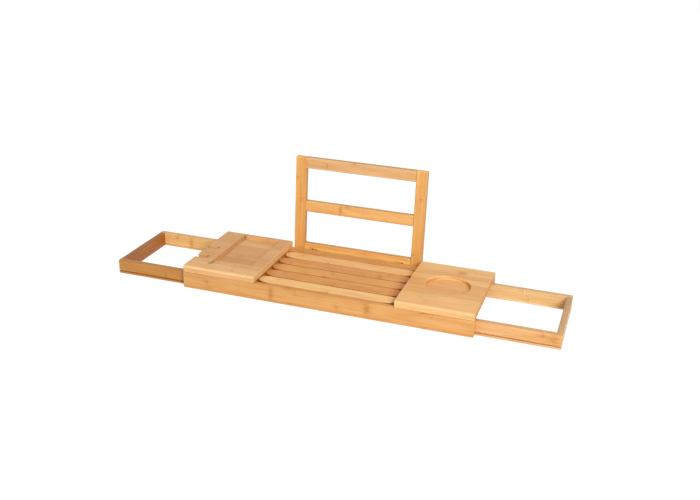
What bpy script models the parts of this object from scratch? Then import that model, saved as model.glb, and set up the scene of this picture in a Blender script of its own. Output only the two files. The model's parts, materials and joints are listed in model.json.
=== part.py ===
"""A bath caddy of bamboo: a slatted tray with two end decks, two arms that slide out of it and a
hinged book rest. Metres, +Z up. +X runs along the tray and +Y goes from its front to its back."""

import math

import bmesh
import bpy
from mathutils import Vector

# Fits and edges shared by every piece
SEAT_GAP = 0.0003  # between faces that are glued, screwed or at rest on each other
OVERRUN = 0.004  # how far a cutter runs past the face that it enters by
EDGE_EASE = 0.0008  # sanded edges of the boards

# Body: two long rails with a deck across each end
BODY_LENGTH = 0.632
BODY_DEPTH = 0.220
RAIL_HEIGHT = 0.036
RAIL_THICKNESS = 0.012
DECK_WIDTH = 0.1635
DECK_THICKNESS = 0.0148
DECK_NOSE = 0.0050  # radius along the front and back top edges

# Slats, and the strip behind them that covers the rear arm rail
SLAT_COUNT = 5
SLAT_THICKNESS = 0.0048
SLAT_GAP = 0.0044
SLAT_RISE = 0.0005  # slat tops stand this far above the rails
SLAT_END_GAP = 0.0010
SLAT_CORNER = 0.0090
STRIP_WIDTH = 0.012

# Cross battens under the slats and decks
BATTEN_WIDTH = 0.020
BATTEN_HEIGHT = 0.010
CLEAT_HEIGHT = 0.018
CLEAT_LEDGE = 0.012  # the part of a slat cleat that the slat ends lie on
CLEAT_UNDER_DECK = 0.016
STOP_CLEAT_HEIGHT = 0.030
STOP_CLEAT_WIDTH = 0.018
STOP_CLEAT_SPACING = 0.0248  # from a slat cleat to the stop cleat beyond it
CLEAT_SIDE_CLEARANCE = 0.0015

# Left deck: phone recess, standing slot and two glass slots
RECESS_INNER_INSET = 0.0275  # from the deck's inner edge
RECESS_FRONT_INSET = 0.046
RECESS_BACK_INSET = 0.017
RECESS_DEPTH = 0.0062
RECESS_CORNER = 0.005
STAND_SLOT_INSET = 0.044  # from the deck's outer edge
STAND_SLOT_WIDTH = 0.010
STAND_SLOT_FRONT_INSET = 0.029
STAND_SLOT_BACK_INSET = 0.014
STAND_SLOT_DEPTH = 0.0105
GLASS_SLOT_WIDTH = 0.015
GLASS_SLOT_LENGTH = 0.0285
GLASS_SLOT_FLARE = 0.0025
GLASS_SLOT_INSETS = (0.062, 0.114)  # centre lines, from the front

# Right deck: round cup recess
CUP_RADIUS = 0.046
CUP_DEPTH = 0.0080
CUP_FLOOR_FILLET = 0.0020
CUP_OUTWARD_SHIFT = 0.0018  # centre, from the middle of the deck
CUP_BACKWARD_SHIFT = 0.0040

# Sliding arms
ARM_THICKNESS = 0.012
ARM_MEET_INSET = 0.011  # from mid length to an arm's inner end when it is pushed in
ARM_SETBACK = 0.0015  # between an arm rail and the body rail beside it
ARM_TOP_CLEARANCE = 0.0007
GROOVE_HEIGHT = 0.0030
GROOVE_DEPTH = 0.0030
GROOVE_FLOOR = 0.0045  # from the underside to the groove
RUNNER_CLEARANCE = 0.0003
RUNNER_SEAT = 0.0040  # how deep a runner is let into its body rail
RUNNER_END_INSET = 0.002
ARM_TENON_LENGTH = 0.006
ARM_TENON_THICKNESS = 0.006
ARM_TENON_SHOULDER = 0.006
STOP_PIN_RADIUS = 0.003
STOP_PIN_REACH = 0.008
STOP_PIN_SEAT = 0.007
STOP_PIN_INSET = 0.012
STOP_PIN_HEIGHT = 0.010

# Book rest, a frame of two stiles and three rails
REST_SIDE_CLEARANCE = 0.0015
REST_THICKNESS = 0.013
REST_STILE_WIDTH = 0.0254
REST_RAIL_WIDTH = 0.0252
REST_BELOW_AXIS = 0.0126
REST_FRONT_INSET = 0.0090  # from the body's front to the rest's free end when it is folded
REST_LEAN = math.radians(2.9)
REST_TENON_LENGTH = 0.010
REST_TENON_THICKNESS = 0.005
REST_TENON_SHOULDER = 0.004

# Butt hinges between the rear rail and the foot of the rest
HINGE_STILE_SPACING = 0.0166  # from a stile to the hinge beside it
HINGE_WIDTH = 0.016
KNUCKLE_COUNT = 3
LEAF_THICKNESS = 0.0013
LEAF_DROP = 0.0105
KNUCKLE_RADIUS = 0.0017
KNUCKLE_GAP = 0.0004
HINGE_PIN_RADIUS = 0.0008
HINGE_PIN_CLEARANCE = 0.0001
LEAF_SCREW_SPACING = 0.0084
LEAF_SCREW_DROP = 0.0063

# Countersunk wood screws
LEAF_SCREW_HEAD = 0.0022
LEAF_SCREW_SHANK = 0.0010
LEAF_SCREW_LENGTH = 0.0085
CLEAT_SCREW_HEAD = 0.0035
CLEAT_SCREW_SHANK = 0.0016
CLEAT_SCREW_LENGTH = 0.0230
CLEAT_SCREW_INSET = 0.018  # from a cleat's end
SCREW_CLEARANCE = 0.0003
SCREW_TIP = 0.0015
SCREW_COUNTERSINK_SHARE = 0.55  # depth of a head's cone against its radius

# Numbers of facets
CORNER_STEPS = 6
ROUND_SIDES = 16
CUP_SIDES = 48

# Places worked out from the sizes above
LEFT, RIGHT = -1, 1
HALF_LENGTH = BODY_LENGTH / 2
DECK_INNER_X = HALF_LENGTH - DECK_WIDTH
DECK_BOTTOM = RAIL_HEIGHT + SEAT_GAP
DECK_TOP = DECK_BOTTOM + DECK_THICKNESS
HINGE_OFFSET = KNUCKLE_RADIUS + SEAT_GAP
REST_ABOVE_AXIS = BODY_DEPTH + HINGE_OFFSET - REST_FRONT_INSET
REST_WINDOW_HEIGHT = (REST_ABOVE_AXIS + REST_BELOW_AXIS - 3 * REST_RAIL_WIDTH) / 2
REST_HALF_WIDTH = DECK_INNER_X - REST_SIDE_CLEARANCE
HINGE_X = REST_HALF_WIDTH - REST_STILE_WIDTH - HINGE_STILE_SPACING - HINGE_WIDTH / 2
REST_REACH_BACK = (
    HINGE_OFFSET
    + (HINGE_OFFSET + REST_THICKNESS) * math.cos(REST_LEAN)
    + REST_ABOVE_AXIS * math.sin(REST_LEAN)
)
FRONT_Y = -(BODY_DEPTH + REST_REACH_BACK) / 2  # centres the whole caddy over the origin
BACK_Y = FRONT_Y + BODY_DEPTH
SLAT_TOP = RAIL_HEIGHT + SLAT_RISE
SLAT_BOTTOM = SLAT_TOP - SLAT_THICKNESS
ARM_HEIGHT = SLAT_BOTTOM - ARM_TOP_CLEARANCE
ARM_FRONT_Y = FRONT_Y + RAIL_THICKNESS + ARM_SETBACK
ARM_BACK_Y = BACK_Y - RAIL_THICKNESS - ARM_SETBACK
CLEAT_FRONT_Y = ARM_FRONT_Y + ARM_THICKNESS + CLEAT_SIDE_CLEARANCE
CLEAT_BACK_Y = ARM_BACK_Y - ARM_THICKNESS - CLEAT_SIDE_CLEARANCE
STOP_CLEAT_X = DECK_INNER_X + CLEAT_UNDER_DECK + STOP_CLEAT_SPACING
STOP_PIN_X = STOP_CLEAT_X - SEAT_GAP - STOP_PIN_RADIUS
ARM_INNER_X = STOP_PIN_X - STOP_PIN_INSET
ARM_TRAVEL = ARM_INNER_X - ARM_MEET_INSET
ARM_LENGTH = HALF_LENGTH + ARM_TRAVEL - ARM_INNER_X


def clear_scene():
    for obj in list(bpy.data.objects):
        bpy.data.objects.remove(obj, do_unlink=True)


def linear(channel):
    value = channel / 255
    return value / 12.92 if value <= 0.04045 else ((value + 0.055) / 1.055) ** 2.4


def material(name, colour, roughness, metallic=0.0):
    """A plain surface; colour is red, green and blue from 0 to 255 as a screen shows them."""
    made = bpy.data.materials.new(name)
    made.use_nodes = True
    shader = made.node_tree.nodes["Principled BSDF"]
    shader.inputs["Base Color"].default_value = (*[linear(c) for c in colour], 1)
    shader.inputs["Roughness"].default_value = roughness
    shader.inputs["Metallic"].default_value = metallic
    return made


def finish_object(name, mesh_maker, finish, parent=None, location=(0, 0, 0)):
    """Turns a bmesh into a named object in the scene."""
    bmesh.ops.recalc_face_normals(mesh_maker, faces=mesh_maker.faces[:])
    mesh = bpy.data.meshes.new(name)
    mesh_maker.to_mesh(mesh)
    mesh_maker.free()
    obj = bpy.data.objects.new(name, mesh)
    bpy.context.scene.collection.objects.link(obj)
    if finish is not None:
        mesh.materials.append(finish)
    obj.parent = parent
    obj.location = location
    return obj


def pivot(name, location, rotation=(0, 0, 0)):
    """An empty on a joint's axis, which the moving pieces hang from."""
    empty = bpy.data.objects.new(name, None)
    bpy.context.scene.collection.objects.link(empty)
    empty.location = location
    empty.rotation_euler = rotation
    return empty


def ease_edges(obj, width=EDGE_EASE, least_angle=50):
    bevel = obj.modifiers.new("eased edges", "BEVEL")
    bevel.width = width
    bevel.segments = 2
    bevel.limit_method = "ANGLE"
    bevel.angle_limit = math.radians(least_angle)
    return obj


def combine(obj, other, operation):
    """Adds or cuts another solid, which stays in the file as a hidden helper."""
    other.hide_render = True
    other.display_type = "WIRE"
    step = obj.modifiers.new(operation.lower() + " " + other.name, "BOOLEAN")
    step.operation = operation
    step.object = other


def cut(obj, *cutters):
    for cutter in cutters:
        combine(obj, cutter, "DIFFERENCE")


def add(obj, *others):
    for other in others:
        combine(obj, other, "UNION")


def block(name, low, high, finish=None, parent=None):
    """A box between two corners, with its origin at its middle."""
    low, high = Vector(low), Vector(high)
    maker = bmesh.new()
    bmesh.ops.create_cube(maker, size=1)
    bmesh.ops.scale(maker, vec=high - low, verts=maker.verts)
    return finish_object(name, maker, finish, parent, (low + high) / 2)


def board(name, low, high, finish, parent=None):
    return ease_edges(block(name, low, high, finish, parent))


def side_span(side, inner, outer):
    """Two X places measured from the middle, put in order on the left or the right."""
    return (inner, outer) if side == RIGHT else (-outer, -inner)


def side_board(name, side, inner, outer, front, back, bottom, top, finish, parent=None):
    low_x, high_x = side_span(side, inner, outer)
    return board(name, (low_x, front, bottom), (high_x, back, top), finish, parent)


def side_block(name, side, inner, outer, front, back, bottom, top, parent=None):
    low_x, high_x = side_span(side, inner, outer)
    return block(name, (low_x, front, bottom), (high_x, back, top), None, parent)


AXIS_ORDER = {
    "X": lambda along, u, v: (along, u, v),
    "Y": lambda along, u, v: (u, along, v),
    "Z": lambda along, u, v: (u, v, along),
}


def prism(name, outline, axis, start, end, finish=None, parent=None):
    """An outline, given in the two directions across the axis, extruded along that axis."""
    place = AXIS_ORDER[axis]
    maker = bmesh.new()
    corners = [maker.verts.new(place(start, u, v)) for u, v in outline]
    face = maker.faces.new(corners)
    grown = bmesh.ops.extrude_face_region(maker, geom=[face])
    moved = [item for item in grown["geom"] if isinstance(item, bmesh.types.BMVert)]
    bmesh.ops.translate(maker, vec=Vector(place(end - start, 0, 0)), verts=moved)
    return finish_object(name, maker, finish, parent)


def turned(name, profile, sides, finish=None, parent=None, location=(0, 0, 0), tilt=(0, 0, 0)):
    """A profile of (radius, height) points spun round its own Z axis, then tilted into place."""
    maker = bmesh.new()
    chain = [maker.verts.new((radius, 0, height)) for radius, height in profile]
    edges = [maker.edges.new(pair) for pair in zip(chain, chain[1:])]
    bmesh.ops.spin(
        maker,
        geom=chain + edges,
        cent=(0, 0, 0),
        axis=(0, 0, 1),
        angle=2 * math.pi,
        steps=sides,
        use_merge=True,
    )
    bmesh.ops.remove_doubles(maker, verts=maker.verts, dist=SEAT_GAP / 100)
    obj = finish_object(name, maker, finish, parent, location)
    obj.rotation_euler = tilt
    obj.data.shade_smooth()
    obj.data.set_sharp_from_angle(angle=math.radians(40))
    return obj


def rod(name, radius, start, end, sides, finish=None, parent=None, location=(0, 0, 0), tilt=(0, 0, 0)):
    profile = [(0, start), (radius, start), (radius, end), (0, end)]
    return turned(name, profile, sides, finish, parent, location, tilt)


def arc(centre, radius, first, last, steps=CORNER_STEPS):
    """Points along an arc between two angles in degrees."""
    angles = [math.radians(first + (last - first) * i / steps) for i in range(steps + 1)]
    return [(centre[0] + radius * math.cos(a), centre[1] + radius * math.sin(a)) for a in angles]


def rounded_outline(low, high, radius):
    """A rectangle with round corners. At half its width the radius makes round ends."""
    inner_low = (low[0] + radius, low[1] + radius)
    inner_high = (high[0] - radius, high[1] - radius)
    points = (
        arc((inner_high[0], inner_high[1]), radius, 0, 90)
        + arc((inner_low[0], inner_high[1]), radius, 90, 180)
        + arc((inner_low[0], inner_low[1]), radius, 180, 270)
        + arc((inner_high[0], inner_low[1]), radius, 270, 360)
    )
    apart = SEAT_GAP / 10
    return [p for i, p in enumerate(points) if math.dist(p, points[i - 1]) > apart]


# Long rails and their runners


def body_rail(name, front, inner_side, finish):
    """A long rail; its inner face, towards inner_side along Y, has a groove for the runner."""
    back = front + RAIL_THICKNESS
    rail = board(name, (-HALF_LENGTH, front, 0), (HALF_LENGTH, back, RAIL_HEIGHT), finish)
    face = back if inner_side > 0 else front
    ends = sorted((face - inner_side * RUNNER_SEAT, face + inner_side * OVERRUN))
    low = (-HALF_LENGTH - OVERRUN, ends[0], GROOVE_FLOOR)
    high = (HALF_LENGTH + OVERRUN, ends[1], GROOVE_FLOOR + GROOVE_HEIGHT)
    cut(rail, block(name + " groove", low, high))
    return rail


def runner(name, face, inner_side, finish):
    """A strip let into a body rail, which stands out of it into the grooves of both arms."""
    seat = face - inner_side * (RUNNER_SEAT - SEAT_GAP)
    tip = face + inner_side * (ARM_SETBACK + GROOVE_DEPTH - RUNNER_CLEARANCE)
    front, back = sorted((seat, tip))
    half = HALF_LENGTH - RUNNER_END_INSET
    bottom = GROOVE_FLOOR + RUNNER_CLEARANCE
    top = GROOVE_FLOOR + GROOVE_HEIGHT - RUNNER_CLEARANCE
    return block(name, (-half, front, bottom), (half, back, top), finish)


def hinge_strip(finish):
    front = BACK_Y - RAIL_THICKNESS - STRIP_WIDTH
    back = BACK_Y - RAIL_THICKNESS - SEAT_GAP
    half = HALF_LENGTH - RUNNER_END_INSET
    return board("hinge_strip", (-half, front, SLAT_BOTTOM), (half, back, RAIL_HEIGHT), finish)


# Slats and the battens under them


def slats(outer_finish, inner_finish):
    """The slats share the room between the front rail and the hinge strip with equal gaps."""
    start = FRONT_Y + RAIL_THICKNESS
    room = BODY_DEPTH - 2 * RAIL_THICKNESS - STRIP_WIDTH
    width = (room - (SLAT_COUNT + 1) * SLAT_GAP) / SLAT_COUNT
    half = DECK_INNER_X - SLAT_END_GAP
    for i in range(SLAT_COUNT):
        front = start + SLAT_GAP + i * (width + SLAT_GAP)
        outline = rounded_outline((-half, front), (half, front + width), SLAT_CORNER)
        finish = outer_finish if i in (0, SLAT_COUNT - 1) else inner_finish
        slat = prism(f"slat_{i + 1}", outline, "Z", SLAT_BOTTOM, SLAT_TOP, finish)
        ease_edges(slat)


def centre_batten(finish):
    top = SLAT_BOTTOM - SEAT_GAP
    low = (-BATTEN_WIDTH / 2, CLEAT_FRONT_Y, top - BATTEN_HEIGHT)
    return board("centre_batten", low, (BATTEN_WIDTH / 2, CLEAT_BACK_Y, top), finish)


def slat_cleat(name, side, finish):
    """A stepped batten: its high part is screwed under the deck and its ledge carries the slats."""
    ledge_x = DECK_INNER_X - CLEAT_LEDGE
    outer_x = DECK_INNER_X + CLEAT_UNDER_DECK
    bottom = RAIL_HEIGHT - CLEAT_HEIGHT
    ledge = SLAT_BOTTOM - SEAT_GAP
    outline = [
        (side * ledge_x, bottom),
        (side * outer_x, bottom),
        (side * outer_x, RAIL_HEIGHT),
        (side * DECK_INNER_X, RAIL_HEIGHT),
        (side * DECK_INNER_X, ledge),
        (side * ledge_x, ledge),
    ]
    cleat = prism(name, outline, "Y", CLEAT_FRONT_Y, CLEAT_BACK_Y, finish)
    return ease_edges(cleat)


def stop_cleat(name, side, finish):
    outer = STOP_CLEAT_X + STOP_CLEAT_WIDTH
    bottom = RAIL_HEIGHT - STOP_CLEAT_HEIGHT
    span = (STOP_CLEAT_X, outer, CLEAT_FRONT_Y, CLEAT_BACK_Y, bottom, RAIL_HEIGHT)
    return side_board(name, side, *span, finish)


# End decks


def deck(name, side, finish):
    """A board right across the rails, with its front and back top edges rounded over."""
    outline = (
        [(FRONT_Y, DECK_BOTTOM), (BACK_Y, DECK_BOTTOM)]
        + arc((BACK_Y - DECK_NOSE, DECK_TOP - DECK_NOSE), DECK_NOSE, 0, 90)
        + arc((FRONT_Y + DECK_NOSE, DECK_TOP - DECK_NOSE), DECK_NOSE, 90, 180)
    )
    inner, outer = side_span(side, DECK_INNER_X, HALF_LENGTH)
    return ease_edges(prism(name, outline, "X", inner, outer, finish))


def pocket(name, low, high, radius, depth):
    """A round-cornered cutter that goes down into a deck's top."""
    outline = rounded_outline(low, high, radius)
    return prism(name, outline, "Z", DECK_TOP - depth, DECK_TOP + OVERRUN)


def phone_recess():
    """The recess opens on its left into the standing slot, so its left wall lies inside that."""
    left = -HALF_LENGTH + STAND_SLOT_INSET + STAND_SLOT_WIDTH / 2
    right = -DECK_INNER_X - RECESS_INNER_INSET
    low = (left, FRONT_Y + RECESS_FRONT_INSET)
    high = (right, BACK_Y - RECESS_BACK_INSET)
    return pocket("phone recess", low, high, RECESS_CORNER, RECESS_DEPTH)


def standing_slot():
    left = -HALF_LENGTH + STAND_SLOT_INSET
    low = (left, FRONT_Y + STAND_SLOT_FRONT_INSET)
    high = (left + STAND_SLOT_WIDTH, BACK_Y - STAND_SLOT_BACK_INSET)
    return pocket("standing slot", low, high, STAND_SLOT_WIDTH / 2, STAND_SLOT_DEPTH)


def glass_slot(name, centre_y):
    """A slot right through the deck from its outer edge, with a flared mouth and a round end."""
    half = GLASS_SLOT_WIDTH / 2
    flare = GLASS_SLOT_FLARE
    edge = -HALF_LENGTH
    front, back = centre_y - half - flare, centre_y + half + flare
    outline = (
        [(edge - OVERRUN, front)]
        + arc((edge + flare, front), flare, 180, 90)
        + arc((edge + GLASS_SLOT_LENGTH - half, centre_y), half, -90, 90, 2 * CORNER_STEPS)
        + arc((edge + flare, back), flare, 270, 180)
        + [(edge - OVERRUN, back)]
    )
    bottom, top = DECK_BOTTOM - OVERRUN, DECK_TOP + OVERRUN
    return prism(name, outline, "Z", bottom, top)


def cup_recess():
    """A turned cutter whose lower edge is rounded, as a router bit leaves it."""
    fillet = CUP_FLOOR_FILLET
    rounding = arc((CUP_RADIUS - fillet, fillet), fillet, -90, 0, 2)
    profile = [(0, 0)] + rounding + [(CUP_RADIUS, CUP_DEPTH + OVERRUN), (0, CUP_DEPTH + OVERRUN)]
    x = DECK_INNER_X + DECK_WIDTH / 2 + CUP_OUTWARD_SHIFT
    y = FRONT_Y + BODY_DEPTH / 2 + CUP_BACKWARD_SHIFT
    return turned("cup recess", profile, CUP_SIDES, location=(x, y, DECK_TOP - CUP_DEPTH))


# Screws


def screw_profile(head, shank, length, grow=0):
    """Half the outline of a countersunk screw whose head faces +Z at height zero."""
    cone = head * SCREW_COUNTERSINK_SHARE
    wide, narrow = head + grow, shank + grow
    return [
        (0, -length - grow),
        (narrow, -length - grow + SCREW_TIP),
        (narrow, -cone - grow),
        (wide, 0),
        (0, 0),
    ]


def screw_hole(name, head, shank, length, location, tilt, parent=None, sunk=0):
    """The screw's own shape grown by its clearance, open above, and sunk below a surface if asked."""
    profile = screw_profile(head, shank, length, SCREW_CLEARANCE)[:-1]
    wide = head + SCREW_CLEARANCE
    profile += [(wide, sunk + OVERRUN), (0, sunk + OVERRUN)]
    return turned(name, profile, ROUND_SIDES, parent=parent, location=location, tilt=tilt)


def cleat_screws(side_name, side, kind, centre_x, cleat, deck_board, sunk, finish):
    """Two screws go up through a cleat into its deck, with their heads sunk level with each other."""
    head_z = RAIL_HEIGHT - CLEAT_HEIGHT
    places = (CLEAT_FRONT_Y + CLEAT_SCREW_INSET, CLEAT_BACK_Y - CLEAT_SCREW_INSET)
    sizes = (CLEAT_SCREW_HEAD, CLEAT_SCREW_SHANK, CLEAT_SCREW_LENGTH)
    upwards = (math.pi, 0, 0)
    for where, y in zip(("front", "back"), places):
        name = f"{side_name}_{kind}_{where}_screw"
        spot = (side * centre_x, y, head_z)
        profile = screw_profile(*sizes)
        turned(name, profile, ROUND_SIDES, finish, location=spot, tilt=upwards)
        hole = screw_hole(name + " hole", *sizes, spot, upwards, sunk=sunk)
        cut(cleat, hole)
        cut(deck_board, hole)


# Sliding arms


def arm_rail(name, side, face, inner_side, finish, parent):
    """An arm's long rail in the arm's own frame: grooved outside, mortised and drilled inside.

    face is the outer face along Y, and inner_side says which way the inside lies."""
    inner_end = ARM_TRAVEL - ARM_LENGTH
    base = -GROOVE_FLOOR - GROOVE_HEIGHT / 2
    inside = face + inner_side * ARM_THICKNESS
    front, back = sorted((face, inside))
    span = (inner_end, ARM_TRAVEL, front, back, base, base + ARM_HEIGHT)
    rail = side_board(name, side, *span, finish, parent)

    ends = sorted((face - inner_side * OVERRUN, face + inner_side * GROOVE_DEPTH))
    groove = (inner_end - OVERRUN, ARM_TRAVEL + OVERRUN, *ends, -GROOVE_HEIGHT / 2, GROOVE_HEIGHT / 2)
    cut(rail, side_block(name + " groove", side, *groove, parent))

    shoulder = (ARM_THICKNESS - ARM_TENON_THICKNESS) / 2 - SEAT_GAP
    depth = ARM_TENON_LENGTH + SEAT_GAP
    ends = sorted((inside - inner_side * depth, inside + inner_side * OVERRUN))
    low = base + ARM_TENON_SHOULDER - SEAT_GAP
    high = base + ARM_HEIGHT - ARM_TENON_SHOULDER + SEAT_GAP
    mortise = (ARM_TRAVEL - ARM_THICKNESS + shoulder, ARM_TRAVEL - shoulder, *ends, low, high)
    cut(rail, side_block(name + " mortise", side, *mortise, parent))

    spot = (side * (inner_end + STOP_PIN_INSET), inside, base + STOP_PIN_HEIGHT)
    along = (-inner_side * math.pi / 2, 0, 0)
    drill = STOP_PIN_RADIUS + SEAT_GAP
    start, end = -STOP_PIN_SEAT - SEAT_GAP, OVERRUN
    cut(rail, rod(name + " hole", drill, start, end, ROUND_SIDES, None, parent, spot, along))
    pin = name.replace("_arm_", "_") + "_stop_pin"
    rod(pin, STOP_PIN_RADIUS, -STOP_PIN_SEAT, STOP_PIN_REACH, ROUND_SIDES, finish, parent, spot, along)
    return rail


def arm_end(name, side, front, back, finish, parent):
    """The bar across an arm's outer end, with a stub tenon into each rail."""
    base = -GROOVE_FLOOR - GROOVE_HEIGHT / 2
    inner = ARM_TRAVEL - ARM_THICKNESS
    ends = (front + SEAT_GAP, back - SEAT_GAP)
    bar = side_board(name, side, inner, ARM_TRAVEL, *ends, base, base + ARM_HEIGHT, finish, parent)
    shoulder = (ARM_THICKNESS - ARM_TENON_THICKNESS) / 2
    ends = (front - ARM_TENON_LENGTH, back + ARM_TENON_LENGTH)
    low, high = base + ARM_TENON_SHOULDER, base + ARM_HEIGHT - ARM_TENON_SHOULDER
    tenons = (inner + shoulder, ARM_TRAVEL - shoulder, *ends, low, high)
    add(bar, side_block(name + " tenons", side, *tenons, parent))
    return bar


def arm(side_name, side, finish):
    """One U-shaped arm. Its frame starts at the body's end face, on the line of its grooves."""
    middle = (FRONT_Y + BACK_Y) / 2
    axis_z = GROOVE_FLOOR + GROOVE_HEIGHT / 2
    slide = pivot(side_name + " arm slide", (side * HALF_LENGTH, middle, axis_z))
    front, back = ARM_FRONT_Y - middle, ARM_BACK_Y - middle
    arm_rail(side_name + "_arm_front", side, front, 1, finish, slide)
    arm_rail(side_name + "_arm_rear", side, back, -1, finish, slide)
    inside = (front + ARM_THICKNESS, back - ARM_THICKNESS)
    arm_end(side_name + "_arm_end", side, *inside, finish, slide)


# Book rest, in a frame on the hinge axis that leans back with it


def rest_stile(name, side, outer, rail_bottoms, finish, parent):
    inner = outer - REST_STILE_WIDTH
    front = HINGE_OFFSET
    back = front + REST_THICKNESS
    span = (inner, outer, front, back, -REST_BELOW_AXIS, REST_ABOVE_AXIS)
    stile = side_board(name, side, *span, finish, parent)
    middle = (front + back) / 2
    half = REST_TENON_THICKNESS / 2 + SEAT_GAP
    depth = REST_TENON_LENGTH + SEAT_GAP
    for i, bottom in enumerate(rail_bottoms):
        low = bottom + REST_TENON_SHOULDER - SEAT_GAP
        high = bottom + REST_RAIL_WIDTH - REST_TENON_SHOULDER + SEAT_GAP
        mortise = (inner - OVERRUN, inner + depth, middle - half, middle + half, low, high)
        cut(stile, side_block(f"{name} mortise {i + 1}", side, *mortise, parent))
    return stile


def rest_rail(name, half_length, bottom, finish, parent):
    """A rail between the stiles, with a tenon on each end."""
    front = HINGE_OFFSET
    back = front + REST_THICKNESS
    half = half_length - SEAT_GAP
    rail = board(name, (-half, front, bottom), (half, back, bottom + REST_RAIL_WIDTH), finish, parent)
    middle = (front + back) / 2
    reach = half_length + REST_TENON_LENGTH
    low = (-reach, middle - REST_TENON_THICKNESS / 2, bottom + REST_TENON_SHOULDER)
    high_z = bottom + REST_RAIL_WIDTH - REST_TENON_SHOULDER
    high = (reach, middle + REST_TENON_THICKNESS / 2, high_z)
    add(rail, block(name + " tenons", low, high, None, parent))
    return rail


def book_rest(finish):
    """Returns the rest's pivot and its bottom rail, which the hinges are screwed to."""
    axis = (0, BACK_Y + HINGE_OFFSET, RAIL_HEIGHT)
    hinge = pivot("book rest hinge", axis, (-REST_LEAN, 0, 0))
    outer = REST_HALF_WIDTH
    step = REST_RAIL_WIDTH + REST_WINDOW_HEIGHT
    names = ("rest_bottom_rail", "rest_middle_rail", "rest_top_rail")
    bottoms = [i * step - REST_BELOW_AXIS for i in range(len(names))]
    rest_stile("rest_left_stile", LEFT, outer, bottoms, finish, hinge)
    rest_stile("rest_right_stile", RIGHT, outer, bottoms, finish, hinge)
    half_length = outer - REST_STILE_WIDTH
    rails = [rest_rail(n, half_length, b, finish, hinge) for n, b in zip(names, bottoms)]
    return hinge, rails[0]


# Hinges


def leaf_outline(facing):
    """A leaf seen from its end: a plate whose back is level with the round of its knuckles.

    facing is +1 where the leaf's free face looks along +Y and -1 where it looks along -Y."""
    back = -facing * KNUCKLE_RADIUS
    face = back + facing * LEAF_THICKNESS
    meet = math.degrees(math.acos(abs(face) / KNUCKLE_RADIUS))
    first, last = (meet - 180, 180) if facing > 0 else (-meet, -360)
    return [(back, -LEAF_DROP), (face, -LEAF_DROP)] + arc((0, 0), KNUCKLE_RADIUS, first, last, ROUND_SIDES)


def leaf(name, centre_x, facing, notches, wood, axis, parent, finish):
    """One hinge leaf with its knuckles, its screws and their holes, in a frame on the pin's axis.

    Notches are pairs of X places that make room for the other leaf's knuckles, and axis is where
    the pin's line lies in the parent's frame."""
    half = HINGE_WIDTH / 2
    place = (axis[0] + centre_x, axis[1], axis[2])
    plate = prism(name, leaf_outline(facing), "X", -half, half, finish, parent)
    plate.location = place
    reach = KNUCKLE_RADIUS + OVERRUN
    for i, (start, end) in enumerate(notches):
        bottom = -KNUCKLE_RADIUS - KNUCKLE_GAP
        low, high = Vector((start, -reach, bottom)), Vector((end, reach, reach))
        cut(plate, block(f"{name} notch {i + 1}", low + Vector(place), high + Vector(place), None, parent))
    bore = HINGE_PIN_RADIUS + HINGE_PIN_CLEARANCE
    ends = (-half - OVERRUN, half + OVERRUN)
    across = (0, math.pi / 2, 0)
    cut(plate, rod(name + " bore", bore, *ends, ROUND_SIDES, None, parent, place, across))
    sizes = (LEAF_SCREW_HEAD, LEAF_SCREW_SHANK, LEAF_SCREW_LENGTH)
    face_y = place[1] + facing * (LEAF_THICKNESS - KNUCKLE_RADIUS)
    tilt = (-facing * math.pi / 2, 0, 0)
    for where, shift in (("outer", -LEAF_SCREW_SPACING / 2), ("inner", LEAF_SCREW_SPACING / 2)):
        spot = (place[0] + shift, face_y, place[2] - LEAF_SCREW_DROP)
        screw = f"{name}_{where}_screw"
        turned(screw, screw_profile(*sizes), ROUND_SIDES, finish, parent, spot, tilt)
        hole = screw_hole(screw + " hole", *sizes, spot, tilt, parent)
        cut(plate, hole)
        cut(wood, hole)


def hinge(side_name, side, rest_pivot, rest_foot, rear_rail, finish):
    """A butt hinge that is closed while the rest stands up, so its leaves stop the rest."""
    centre_x = side * HINGE_X
    half = HINGE_WIDTH / 2
    knuckle = half / KNUCKLE_COUNT
    past_end = half + OVERRUN
    middle = [(-knuckle - KNUCKLE_GAP, knuckle + KNUCKLE_GAP)]
    outside = [(-past_end, -knuckle), (knuckle, past_end)]
    axis = tuple(rest_pivot.location)
    leaf(side_name + "_rail_leaf", centre_x, 1, middle, rear_rail, axis, None, finish)
    leaf(side_name + "_rest_leaf", centre_x, -1, outside, rest_foot, (0, 0, 0), rest_pivot, finish)
    spot = (centre_x, axis[1], axis[2])
    across = (0, math.pi / 2, 0)
    ends = (-half, half)
    rod(side_name + "_hinge_pin", HINGE_PIN_RADIUS, *ends, ROUND_SIDES, finish, None, spot, across)


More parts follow.
